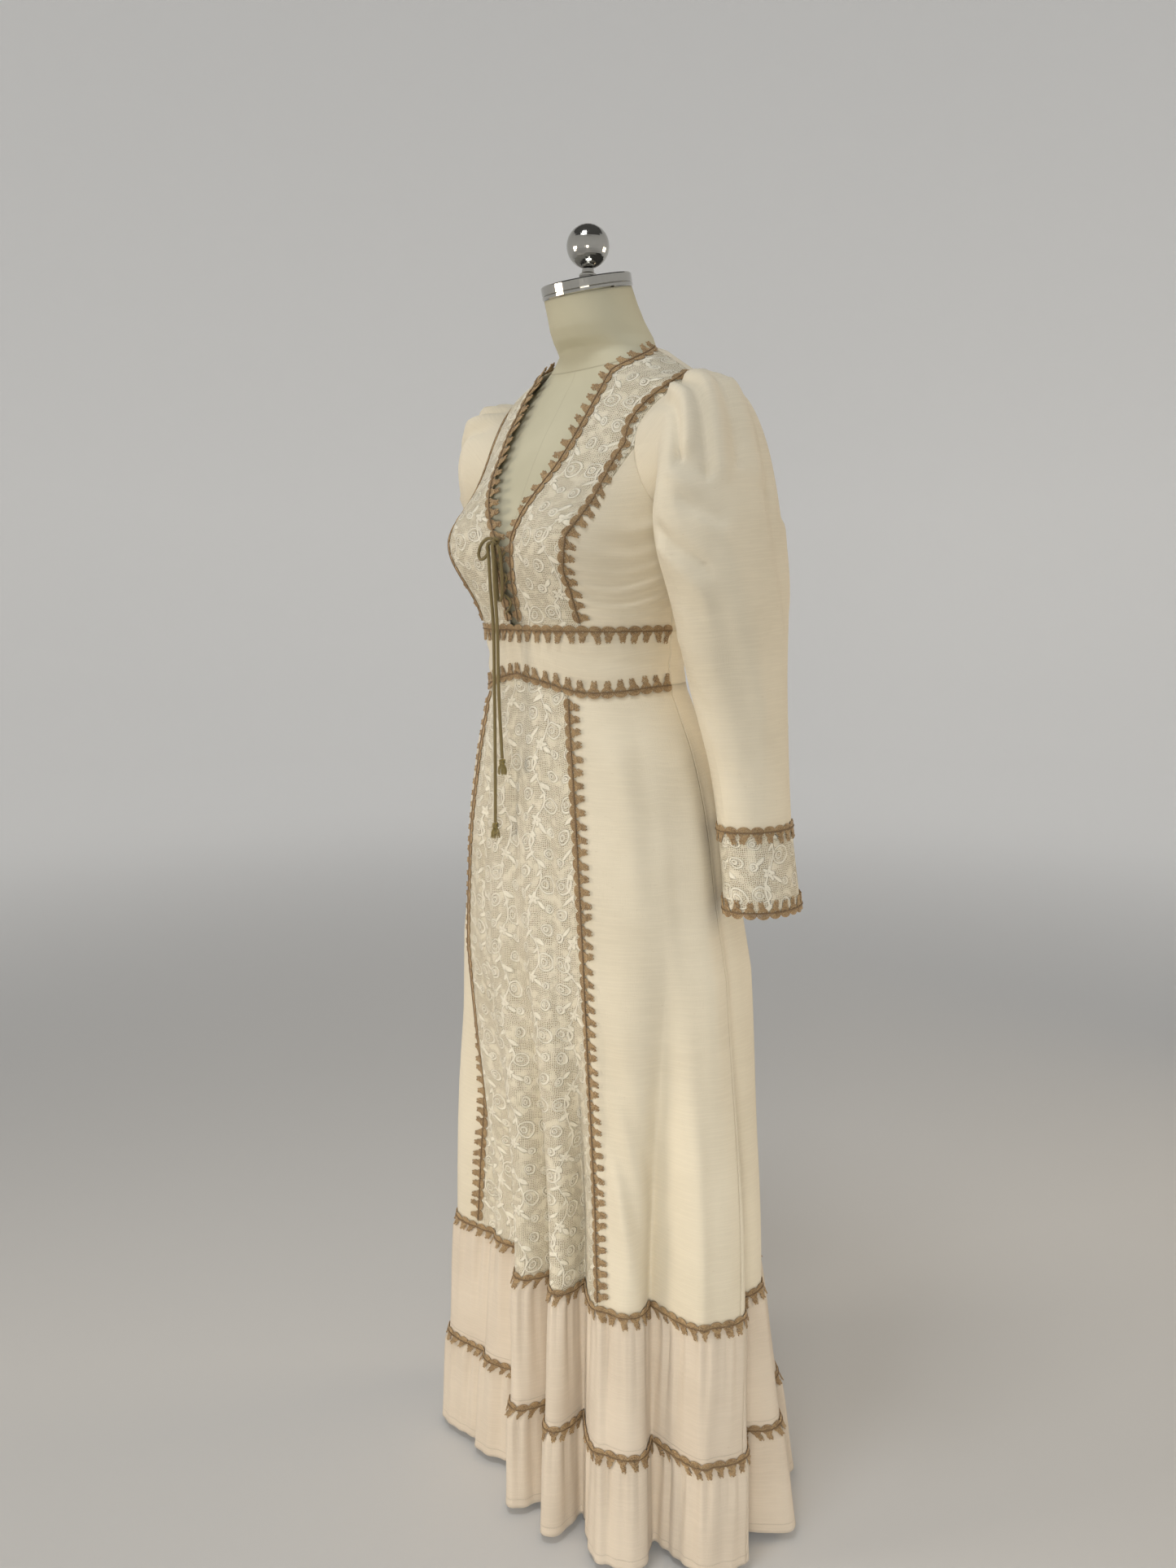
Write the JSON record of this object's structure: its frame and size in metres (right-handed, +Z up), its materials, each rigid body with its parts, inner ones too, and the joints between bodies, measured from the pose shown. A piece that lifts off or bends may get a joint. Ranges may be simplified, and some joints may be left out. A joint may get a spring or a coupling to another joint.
{
  "type": "medieval gown on a limbless dress form",
  "caption": "Long laced cream cloth gown with lace panels, full-topped sleeves, flounces and looped braid, worn by a limbless dress form on a round base.",
  "frame": {"origin": "on the floor, in the plane of the round base's underside and straight under the neck", "axes": "+Z up, parallel to the pole; the gown faces -Y and the wearer's left is +X"},
  "size_m": [0.5166, 0.3982, 1.539],
  "materials": {
    "plain_cloth": "matt slubbed cotton",
    "flounce_cloth": "matt slubbed cotton",
    "lace": "corded lace on a cotton backing",
    "braid": "looped cotton braid",
    "lacing_cord": "round woven cord",
    "form_canvas": "taut canvas cover",
    "chrome": "polished",
    "stand_steel": "satin paint"
  },
  "bodies": {
    "root": {"bodice_back_left": "plain_cloth", "bodice_back_right": "plain_cloth", "bodice_lace_left": "lace", "bodice_lace_right": "lace", "bodice_side_left": "plain_cloth", "bodice_side_right": "plain_cloth", "braid_cuff_lower_left": "braid", "braid_cuff_lower_right": "braid", "braid_cuff_upper_left": "braid", "braid_cuff_upper_right": "braid", "braid_flounce_lower": "braid", "braid_flounce_upper": "braid", "braid_neck_left": "braid", "braid_neck_right": "braid", "braid_panel_left": "braid", "braid_panel_right": "braid", "braid_skirt_left": "braid", "braid_skirt_right": "braid", "braid_underbust": "braid", "braid_waist": "braid", "cuff_left": "lace", "cuff_right": "lace", "finial_ball": "chrome", "finial_stem": "chrome", "flounce_lower_back": "flounce_cloth", "flounce_lower_front": "flounce_cloth", "flounce_upper_back": "flounce_cloth", "flounce_upper_front": "flounce_cloth", "form_torso": "form_canvas", "lacing_crossings": "lacing_cord", "lacing_knot": "lacing_cord", "lacing_long_end": "lacing_cord", "lacing_long_loop": "lacing_cord", "lacing_long_tassel": "lacing_cord", "lacing_short_end": "lacing_cord", "lacing_short_tassel": "lacing_cord", "lacing_small_loop": "lacing_cord", "midriff_back_left": "plain_cloth", "midriff_back_right": "plain_cloth", "midriff_front": "plain_cloth", "neck_plate": "chrome", "skirt_back_left": "plain_cloth", "skirt_back_right": "plain_cloth", "skirt_front_lace": "lace", "skirt_side_left": "plain_cloth", "skirt_side_right": "plain_cloth", "sleeve_left": "plain_cloth", "sleeve_right": "plain_cloth", "stand_base": "stand_steel", "stand_pole": "stand_steel"}
  },
  "joints": []
}
